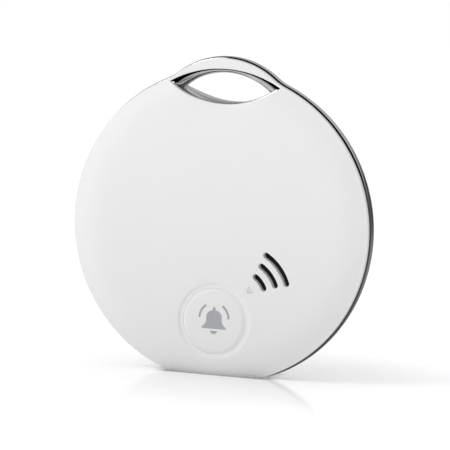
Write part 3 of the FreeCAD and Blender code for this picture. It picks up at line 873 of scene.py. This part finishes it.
class TAG_OT_front_cover(bpy.types.Operator):
    """Front shell: pillow face, strip over the loop, button hole, sound slots and light window"""
    bl_idname = "tag.front_cover"
    bl_label = "Front cover"

    def execute(self, context):
        scene = context.scene
        cover = Cover(scene.tag_case, FACE_Y, BAND_FRONT, SEAM_FRONT, FRONT_FLAT_R)
        soft, slot_edge = scene.tag_button.groove_width / MM, scene.tag_case.slot_edge / MM
        hole, seat = (circle(0, BUTTON_Z, r, BUTTON_STEPS) for r in (HOLE_R, MEMBRANE_OUT))
        rows = sloped(hole, cover.face, soft, GROOVE_Y) + upright(hole, LIP_BACK)
        rows += upright(seat, LIP_BACK, SEAT_BACK) + upright(hole, SEAT_BACK)
        cover.cut(rows + [(hole, 0, cover.ceiling)])
        for radius, half_span in SOUND_SLOTS:
            slot = arc_slot(SLOT_CENTRE, radius, SLOT_DIRECTION, half_span, SLOT_WIDTH)
            cover.cut(cover.edge(slot, slot_edge, 3) + [(slot, 0, cover.ceiling)])
        window = rounded_shape(WINDOW, WINDOW_ROUND)
        cover.cut(cover.edge(window, slot_edge, 4) + [(window, 0, cover.ceiling)])
        for x, z in screw_places():
            cover.column(x, z, BOSS_R, BOARD_BACK - BOSS_GAP, SCREW_R, SCREW_TIP_Y)
        for x, z in BOARD_POSTS:
            cover.column(x, z, POST_R, BOARD_FRONT)
        cover.finish(FRONT_INNER_PITCH, "front_cover", "front_shell", scene)
        return {"FINISHED"}


class TAG_OT_chrome_ring(bpy.types.Operator):
    """Chromed ring with rounded edges and the bead-shaped surround of the key-ring eye"""
    bl_idname = "tag.chrome_ring"
    bl_label = "Chrome ring"

    def execute(self, context):
        case = context.scene.tag_case
        bm = bmesh.new()
        outline, rim = body_outline(0.0), eye_outline(EYE_RIM)
        front = softened(outline, level(BAND_FRONT), 1, BAND_ROUND, BAND_ROUND, 8)
        back = softened(outline, level(BAND_BACK), -1, BAND_ROUND, BAND_ROUND, 8)
        outer_front, outer_back = rows_of(bm, front + back[::-1])
        bore_front, bore_back = rows_of(bm, upright(cavity_outline(0.0), BAND_FRONT, BAND_BACK))
        rows = upright(rim, BAND_FRONT)
        rows += self.bead(BEZEL_FRONT, THROAT_Y - THROAT_HALF)[::-1]
        rows += self.bead(BEZEL_BACK, THROAT_Y + THROAT_HALF) + upright(rim, BAND_BACK)
        eye_front, eye_back = rows_of(bm, rows)
        fill(bm, outer_front, bore_front, eye_front)
        fill(bm, outer_back, bore_back, eye_back)
        chrome = chrome_plating("chrome_plating", tuple(case.ring_colour), case.ring_roughness)
        place(bm, "chrome_ring", "housing", chrome, ["middle_frame"], "chrome_ring", 40.0)
        return {"FINISHED"}

    def bead(self, mouth, start, steps=12):
        """Rows of the eye's curved surround, from its throat out to its mouth."""
        rows = []
        for step in range(steps + 1):
            angle = math.pi / 2 * step / steps
            widen = 1 - math.cos(angle)
            size = [a + (b - a) * widen for a, b in zip(THROAT, EYE_RIM)]
            rows += upright(eye_outline(size), start + (mouth - start) * math.sin(angle))
        return rows


class TAG_OT_back_cover(bpy.types.Operator):
    """Back shell: domed, with the recess and ledge of the battery door and its screw holes"""
    bl_idname = "tag.back_cover"
    bl_label = "Back cover"

    def execute(self, context):
        cover = Cover(context.scene.tag_case, BACK_Y, BAND_BACK, SEAM_BACK, BACK_FLAT_R)
        recess = circle(0, DISC_Z, DOOR_RECESS_R, DOOR_STEPS)
        rows = cover.edge(recess, RECESS_EDGE) + upright(recess, DOOR_RECESS_Y)
        top, ledge = rows_of(cover.bm, rows)
        cover.tops.append(top)
        notches = [angle - DOOR_TURN for angle in LUG_ANGLES]
        mouth = notched_circle(DOOR_HOLE_R, NOTCH_R, notches, NOTCH_HALF)
        upper, lower = rows_of(cover.bm, upright(mouth, DOOR_RECESS_Y) + [(mouth, 0, cover.ceiling)])
        fill(cover.bm, ledge, upper)
        cover.feet.append(lower)
        for x, z in screw_places():
            bore = circle(x, z, SCREW_R + SCREW_PLAY, SHANK_STEPS)
            head, boss = (circle(x, z, r, HEAD_STEPS) for r in (COUNTERBORE_R, REAR_BOSS_R))
            rows = cover.edge(head, COUNTERBORE_EDGE, 4) + upright(head, SCREW_SEAT_Y)
            rows += upright(bore, SCREW_SEAT_Y, BOARD_BACK) + upright(boss, BOARD_BACK)
            cover.cut(rows + [(boss, 0, cover.ceiling)])
        cover.finish(BACK_INNER_PITCH, "back_cover", "back_shell", context.scene)
        return {"FINISHED"}


class TAG_OT_door_cover(bpy.types.Operator):
    """Battery door: coin slot outside, skirt and three bayonet lugs inside"""
    bl_idname = "tag.door_cover"
    bl_label = "Battery door"

    def execute(self, context):
        bm = bmesh.new()
        face = level(BACK_Y)
        radii = (DOOR_R, DOOR_BODY_R, DOOR_SKIRT_R)
        rim, drum, skirt = (circle(0, DISC_Z, r, DOOR_STEPS) for r in radii)
        rows = softened(rim, face, -1, -DOOR_EDGE, DOOR_EDGE) + upright(rim, DOOR_FLANGE_Y)
        rows += upright(drum, DOOR_FLANGE_Y, DOOR_LOW) + upright(skirt, DOOR_LOW, DOOR_IN_Y)
        outside, inner = rows_of(bm, rows)
        fill(bm, inner)

        length, width, depth = COIN_SLOT
        half_run = (length - width) / 2
        slot = rounded_shape([(-half_run, DISC_Z), (half_run, DISC_Z)], width / 2)
        bottom_y = BACK_Y - depth
        rows = softened(slot, face, -1, RECESS_EDGE, RECESS_EDGE, 4)
        rows += upright(slot, bottom_y + COIN_SLOT_ROUND) + upright(slot, bottom_y, grow=-COIN_SLOT_ROUND)
        mouth, bottom = rows_of(bm, rows)
        fill(bm, bottom)
        fill(bm, outside, mouth)

        for angle in LUG_ANGLES:
            start = math.radians(angle - LUG_HALF)
            corners = []
            for radius, y in ((LUG_ROOT_R, DOOR_LOW), (LUG_R, DOOR_LOW),
                              (LUG_R, LUG_BACK), (LUG_ROOT_R, LUG_BACK)):
                x, z = polar(radius, start)
                corners.append(bm.verts.new((x, y, z)))
            end = bm.faces.new(corners)
            bmesh.ops.spin(bm, geom=[end, *end.edges, *end.verts], cent=(0, 0, DISC_Z),
                           axis=(0, -1, 0), angle=math.radians(2 * LUG_HALF), steps=8)
        place(bm, "door_cover", "door", white_plastic(context.scene), ["battery_door"], "white_shell")
        return {"FINISHED"}


class TAG_OT_press_button(bpy.types.Operator):
    """Button cap with a soft edge, and the silicone ring that forms the floor of its groove"""
    bl_idname = "tag.press_button"
    bl_label = "Button"

    def execute(self, context):
        scene = context.scene
        soft = scene.tag_button.groove_width / MM
        bm = bmesh.new()
        profile = [(radius, CAP_FACE_Y) for radius in (0, *CAP_RINGS)]
        steps = 10
        for step in range(steps + 1):
            down = (GROOVE_Y - CAP_FACE_Y) * (1 - math.cos(math.pi * step / steps)) / 2
            profile.append((CAP_R - soft * (1 - step / steps), CAP_FACE_Y + down))
        profile += [(CAP_R, CAP_FLANGE_FRONT), (CAP_FLANGE_R, CAP_FLANGE_FRONT), (CAP_FLANGE_R, CAP_BACK)]
        profile += [(NUB_R, CAP_BACK), (NUB_R, NUB_BACK), (0, NUB_BACK)]
        lathe(bm, profile, 0, BUTTON_Z)
        place(bm, "press_button", "button", white_plastic(scene), ["button_cap"], "white_button")

        inner, sheet_back = CAP_R + GROOVE_GAP, LIP_BACK + MEMBRANE_SHEET
        bm = bmesh.new()
        profile = [(inner, GROOVE_Y), ((inner + HOLE_R) / 2, GROOVE_Y + GROOVE_DIP), (HOLE_R, GROOVE_Y)]
        profile += [(HOLE_R, LIP_BACK), (MEMBRANE_OUT, LIP_BACK), (MEMBRANE_OUT, SEAT_BACK)]
        profile += [(MEMBRANE_FOOT_R, SEAT_BACK), (MEMBRANE_FOOT_R, sheet_back), (inner, sheet_back)]
        lathe(bm, profile + profile[:1], 0, BUTTON_Z)
        silicone = soft_rubber("white_silicone", (0.74, 0.74, 0.74))
        place(bm, "button_ring", "housing", silicone, ["button_membrane"], "white_silicone")
        return {"FINISHED"}


class TAG_OT_bell_mark(bpy.types.Operator):
    """Printed bell on the button, with its clapper and two strokes for its ring"""
    bl_idname = "tag.bell_mark"
    bl_label = "Bell mark"

    def execute(self, context):
        button = context.scene.tag_button
        size = button.mark_size / MM / BELL_HEIGHT

        def at(x, z):
            return (x * size, BUTTON_Z + z * size)

        def bell(_):
            path = Path(*at(-1.4, -0.95)).run(*at(1.4, -0.95), 8).bow(*at(1.4, -0.65), 0.15 * size)
            path.bow(*at(0.98, 0.25), -0.12 * size).bow(*at(0.2, 1.3), 0.3 * size)
            path.run(*at(0.2, 1.5), 1).bow(*at(-0.2, 1.5), 0.2 * size).run(*at(-0.2, 1.3), 1)
            path.bow(*at(-0.98, 0.25), 0.3 * size).bow(*at(-1.4, -0.65), -0.12 * size)
            return path.bow(*at(-1.4, -0.95), 0.15 * size).close()

        def clapper(_):
            path = Path(*at(0.45, -1.2)).run(*at(-0.45, -1.2), 4)
            return path.bow(*at(0.45, -1.2), 0.4 * size, 12).close()

        strokes = [arc_slot(at(0, 0.35), 1.85 * size, direction, 24.0, 0.28 * size)
                   for direction in (math.radians(28), math.radians(152))]
        bm = bmesh.new()
        for shape in (bell, clapper, *strokes):
            for loop in rows_of(bm, upright(shape, CAP_FACE_Y - INK_PROUD, CAP_FACE_Y + INK_SUNK)):
                fill(bm, loop)
        ink = printed_ink("mark_ink", tuple(button.mark_colour))
        place(bm, "bell_mark", "button", ink, [], "white_button")
        return {"FINISHED"}


class TAG_OT_small_parts(bpy.types.Operator):
    """Light window, and the screws with their cross recesses"""
    bl_idname = "tag.small_parts"
    bl_label = "Window and screws"

    def execute(self, context):
        bm = bmesh.new()
        front, back = span("light_guide", Y)
        window = rounded_shape(WINDOW, WINDOW_ROUND)
        rows = [(window, -width, level(front + depth)) for width, depth in WINDOW_EDGE]
        for loop in rows_of(bm, rows + upright(window, back)):
            fill(bm, loop)
        place(bm, "window_lens", "housing", milky_plastic("milky_plastic", (0.88, 0.88, 0.87)),
              ["light_guide"], "clear_guide")

        bm = bmesh.new()
        for x, z in screw_places():
            self.screw(bm, x, z)
        steel = worked_metal("screw_steel", (0.62, 0.62, 0.64), 0.3, 4.0)
        place(bm, "cover_screws", "housing", steel, ["shell_screws"], "screw_steel")
        return {"FINISHED"}

    def screw(self, bm, x, z):
        head, shank = circle(x, z, SCREW_HEAD_R, HEAD_STEPS), circle(x, z, SCREW_R, SHANK_STEPS)
        crown, drop = SCREW_CROWN
        inset, length = SCREW_POINT
        rows = softened(head, level(SCREW_HEAD_Y), -1, -crown, drop, 6) + upright(head, SCREW_SEAT_Y)
        rows += upright(shank, SCREW_SEAT_Y, SCREW_TIP_Y + length)
        rim, tip = rows_of(bm, rows + upright(shank, SCREW_TIP_Y, grow=-inset))
        fill(bm, tip)

        def cross(grow):
            """Cross recess, narrower by as much as it is drawn deeper."""
            arm, half = CROSS_ARM + grow, CROSS_HALF + grow / 3
            path = None
            for quarter in range(4):
                turn = Matrix.Rotation(math.pi / 2 * quarter, 2)
                for corner in ((arm, -half), (arm, half), (half, half)):
                    dx, dz = turn @ Vector(corner)
                    path = path.run(x + dx, z + dz) if path else Path(x + dx, z + dz)
            return path.close()

        bottom_y = SCREW_HEAD_Y - CROSS_DEPTH
        rows = upright(cross, SCREW_HEAD_Y) + upright(cross, bottom_y, grow=-CROSS_TAPER)
        mouth, bottom = rows_of(bm, rows)
        fill(bm, bottom)
        fill(bm, rim, mouth)


# Nodes, the finish they share, and what makes it
INNER_FINISHES = (
    (("case_gasket", "door_seal"), soft_rubber, "black_silicone", (0.04, 0.04, 0.04)),
    (("buzzer_gasket",), soft_rubber, "black_foam", (0.03, 0.03, 0.03)),
    (("sound_mesh",), woven_mesh, "black_mesh", (0.008, 0.008, 0.008)),
    (("coin_cell_can", "coin_cell_cap"), worked_metal, "cell_steel", (0.70, 0.70, 0.71), 0.25, 3.0),
    (("coin_cell_gasket",), speckled, "grey_nylon", (0.15, 0.15, 0.16), 0.5),
    (("coin_cell_anode",), worked_metal, "soft_anode", (0.55, 0.55, 0.56), 0.6, 2.0),
    (("coin_cell_cathode",), speckled, "black_powder", (0.05, 0.05, 0.05), 0.85),
    (("battery_holder", "switch_body", "switch_plunger"),
     speckled, "black_plastic", (0.05, 0.05, 0.05), 0.5),
    (("positive_contact", "negative_contact", "buzzer_contacts"),
     worked_metal, "spring_metal", (0.72, 0.68, 0.58), 0.25, 6.0),
    (("buzzer_plate",), worked_metal, "rolled_brass", (0.75, 0.60, 0.30), 0.3, 4.0),
    (("buzzer_ceramic",), speckled, "silvered_ceramic", (0.72, 0.71, 0.68), 0.4),
    (("indicator_led",), milky_plastic, "led_body", (0.85, 0.84, 0.78)),
    (("circuit_board",), solder_mask, "solder_mask", (0.02, 0.16, 0.06)),
    (("bluetooth_chip",), speckled, "chip_resin", (0.03, 0.03, 0.03), 0.55),
    (("crystal",), worked_metal, "nickel_can", (0.66, 0.66, 0.67), 0.28, 5.0),
    (("chip_antenna",), speckled, "white_ceramic", (0.75, 0.75, 0.72), 0.35),
    (("capacitors",), speckled, "tan_ceramic", (0.50, 0.36, 0.24), 0.4),
    (("resistors",), speckled, "black_ceramic", (0.06, 0.06, 0.07), 0.4),
)


class TAG_OT_inner_finishes(bpy.types.Operator):
    """Finishes of the inner parts, whose CAD shapes are kept"""
    bl_idname = "tag.inner_finishes"
    bl_label = "Inner finishes"

    def execute(self, context):
        for nodes, make, *facts in INNER_FINISHES:
            for node in nodes:
                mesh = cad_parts[node].data
                mesh.materials.clear()
                mesh.materials.append(make(*facts))
        return {"FINISHED"}


# ---- stage ------------------------------------------------------------------------------------------

# Sizes of the stage, in metres
FLOOR_R = 3.0
FLOOR_DROP = 0.01 * MM
CARD_X, CARD_Y, CARD_TOP = (-0.25, 0.02), 0.06, 0.03
# Painted contact shadow in the floor's colour under the tag: the size of its patch, and how dark it gets
PAINTED_SHADOW_PATCH = ((X, 5.6 * MM, 2.6 * MM), (Y, 2.5 * MM, 1.1 * MM))     # axis, half size, soft edge
PAINTED_SHADOW_DARK = 0.25
GLOW_PLACES = (0.005, 0.07)
GLOW_COLOURS = ((0.1, 0.1, 0.1), (0.55, 0.55, 0.55))
KEY_SIZE, KEY_PLACE = 0.4, (-0.35, -0.25, 0.38)
FILL_SIZE, FILL_PLACE = 0.6, (0.0, -0.85, 0.22)
LENS_LENGTH = 400.0
SENSOR_WIDTH = 36.0
CLIP = (0.05, 10.0)
CAMERA_AIM = Vector((0.228, -0.755, 18.0)) * MM
PLAIN_SKY = 0.78


class TAG_OT_stage(bpy.types.Operator):
    """Pale floor with a painted contact shadow under the tag, soft light from the upper left, and the
    camera
    """
    bl_idname = "tag.stage"
    bl_label = "Stage"

    def execute(self, context):
        scene = context.scene
        stage = scene.tag_stage
        self.floor(tuple(stage.floor_colour))
        self.card()
        self.world(scene)
        self.lights(scene, stage)
        self.camera(scene, stage)
        scene.view_settings.view_transform = "Standard"
        return {"FINISHED"}

    def floor(self, colour):
        bm = bmesh.new()
        under = Matrix.Translation((0, 0, -FLOOR_DROP))
        bmesh.ops.create_circle(bm, cap_ends=True, segments=96, radius=FLOOR_R, matrix=under)
        floor = new_object("floor", bm, new_material("floor", {
            # Base colour darkened under the tag by position: a painted contact shadow
            "Base Color": lambda s: s.tint(self.contact(s), scaled(colour, PAINTED_SHADOW_DARK), colour),
            "Roughness": lambda s: s.noise(0.02) * 0.02 + 0.12,
            "Emission Color": self.fade,
            "Emission Strength": 1.0,
            "IOR": 1.15,
        }))
        floor.visible_glossy = False

    def card(self):
        """Low white card behind the tag, which only the floor's reflections show."""
        bm = bmesh.new()
        left, right = CARD_X
        corners = ((left, 0), (right, 0), (right, CARD_TOP), (left, CARD_TOP))
        bm.faces.new([bm.verts.new((x, CARD_Y, z)) for x, z in corners])
        material = bpy.data.materials.new("card")
        shader = Shader(material)
        glow = shader.node("ShaderNodeEmission", inputs={"Strength": 1.0})
        shader.node("ShaderNodeOutputMaterial", inputs={"Surface": glow})
        card = new_object("card", bm, material)
        for ray in ("camera", "diffuse", "transmission", "volume_scatter", "shadow"):
            setattr(card, "visible_" + ray, False)

    def contact(self, shader):
        """Mask of the painted contact shadow: 0 under the tag, rising to 1 a little way out. Where it is
        0, the floor's colour is darkened into a painted dark line where the tag stands.
        """
        start = shader.node("ShaderNodeTexCoord", output="Object")
        clear = []
        for axis, half, soft in PAINTED_SHADOW_PATCH:
            along = shader.node("ShaderNodeSeparateXYZ", inputs={0: start}, output=axis)
            beyond = shader.node("ShaderNodeMath", {"operation": "ABSOLUTE"}, {0: along})
            clear.append(shader.ramp(beyond, half, half + soft))
        return shader.larger(*clear)

    def fade(self, shader):
        """The floor is lit from within away from the tag, so that it ends in white."""
        around = shader.node("ShaderNodeVectorMath", {"operation": "LENGTH"},
                             {0: shader.node("ShaderNodeTexCoord", output="Object")}, "Value")
        return shader.tint(shader.ramp(around, *GLOW_PLACES), *GLOW_COLOURS)

    def world(self, scene):
        """White all round for the plastic, with a dark front and a grey horizon in the chrome."""
        world = bpy.data.worlds.new("studio")
        scene.world = world
        shader = Shader(world)
        around = shader.node("ShaderNodeTexCoord", output="Generated")
        x, y, z = (shader.node("ShaderNodeSeparateXYZ", inputs={0: around}, output=axis)
                   for axis in (X, Y, Z))
        # Parts of the room that the chrome sees, by direction
        behind = shader.ramp(y, 0.3, 0.6)
        above = shader.ramp(z, 0.12, 0.34)
        below = shader.ramp(z, -0.02, -0.2)
        leftwards = shader.ramp(x, -0.15, -0.3)
        far_left = shader.ramp(x, -0.55, -0.75)
        far_right = shader.ramp(x, 0.45, 0.75) * shader.ramp(z, 0.45, 0.2)
        ground = shader.ramp(z, -0.35, -0.6) * shader.ramp(y, -0.85, -0.7)
        # The light that each part gives, from dark in front to a white card on the far left
        seen = behind * (above * 0.55 + below * 0.22 + 0.08) + far_right * 0.1
        seen = shader.blend(leftwards * behind, seen, 0.36 + below * 0.5)
        seen = shader.blend(ground, seen, 0.1 + shader.ramp(x, 0.1, -0.1) * 0.62)
        seen = shader.blend(far_left, seen, 0.9)
        mirror = shader.node("ShaderNodeLightPath", output="Is Glossy Ray")
        light = shader.blend(mirror, PLAIN_SKY, seen)
        sky = shader.node("ShaderNodeBackground", inputs={"Strength": light})
        shader.node("ShaderNodeOutputWorld", inputs={"Surface": sky})

    def lights(self, scene, stage):
        """Key on the upper left, and a broad weak fill from in front."""
        lamps = (("key", KEY_SIZE, stage.key_power, KEY_PLACE),
                 ("fill", FILL_SIZE, stage.fill_power, FILL_PLACE))
        for name, size, power, spot in lamps:
            lamp = bpy.data.lights.new(name, "AREA")
            lamp.shape = "DISK"
            lamp.size = size
            lamp.energy = power
            light = bpy.data.objects.new(name, lamp)
            scene.collection.objects.link(light)
            light.location = spot
            aim = Vector((0, 0, DISC_Z * MM)) - light.location
            light.rotation_euler = aim.to_track_quat("-Z", "Y").to_euler()

    def camera(self, scene, stage):
        lens = bpy.data.cameras.new("camera")
        lens.sensor_width = SENSOR_WIDTH
        lens.lens = LENS_LENGTH
        lens.clip_start, lens.clip_end = CLIP
        camera = bpy.data.objects.new("camera", lens)
        scene.collection.objects.link(camera)
        a, e = stage.azimuth, stage.elevation
        back = Vector((math.sin(a) * math.cos(e), -math.cos(a) * math.cos(e), math.sin(e)))
        right = Vector((math.cos(a), math.sin(a), 0))
        up = back.cross(right)
        level_axes = Matrix((right, up, back)).transposed()
        turned = level_axes @ Matrix.Rotation(stage.roll, 3, "Z")
        spot = Matrix.Translation(CAMERA_AIM + back * stage.distance)
        camera.matrix_world = spot @ turned.to_4x4()
        scene.camera = camera


class TAG_PT_panel(bpy.types.Panel):
    """Settings of the tag, and a button for each operator"""
    bl_label = "Key-finder tag"
    bl_idname = "TAG_PT_panel"
    bl_space_type = "VIEW_3D"
    bl_region_type = "UI"
    bl_category = "Tag"

    def draw(self, context):
        layout = self.layout
        for settings in (context.scene.tag_case, context.scene.tag_button, context.scene.tag_stage):
            box = layout.box()
            for name in settings.__annotations__:
                box.prop(settings, name)
        for operator in OPERATORS:
            layout.operator(operator.bl_idname)


SETTINGS = {"tag_case": CaseSettings, "tag_button": ButtonSettings, "tag_stage": StageSettings}
OPERATORS = (TAG_OT_front_cover, TAG_OT_chrome_ring, TAG_OT_back_cover, TAG_OT_door_cover,
             TAG_OT_press_button, TAG_OT_bell_mark, TAG_OT_small_parts, TAG_OT_inner_finishes,
             TAG_OT_stage)
CLASSES = (*SETTINGS.values(), *OPERATORS, TAG_PT_panel)


def register():
    for cls in CLASSES:
        bpy.utils.register_class(cls)
    for name, cls in SETTINGS.items():
        setattr(bpy.types.Scene, name, PointerProperty(type=cls))


def unregister():
    for name in SETTINGS:
        delattr(bpy.types.Scene, name)
    for cls in reversed(CLASSES):
        bpy.utils.unregister_class(cls)


def main():
    register()
    bpy.ops.tag.front_cover()
    bpy.ops.tag.chrome_ring()
    bpy.ops.tag.back_cover()
    bpy.ops.tag.door_cover()
    bpy.ops.tag.press_button()
    bpy.ops.tag.bell_mark()
    bpy.ops.tag.small_parts()
    bpy.ops.tag.inner_finishes()
    bpy.ops.tag.stage()


if __name__ == "__main__":
    main()
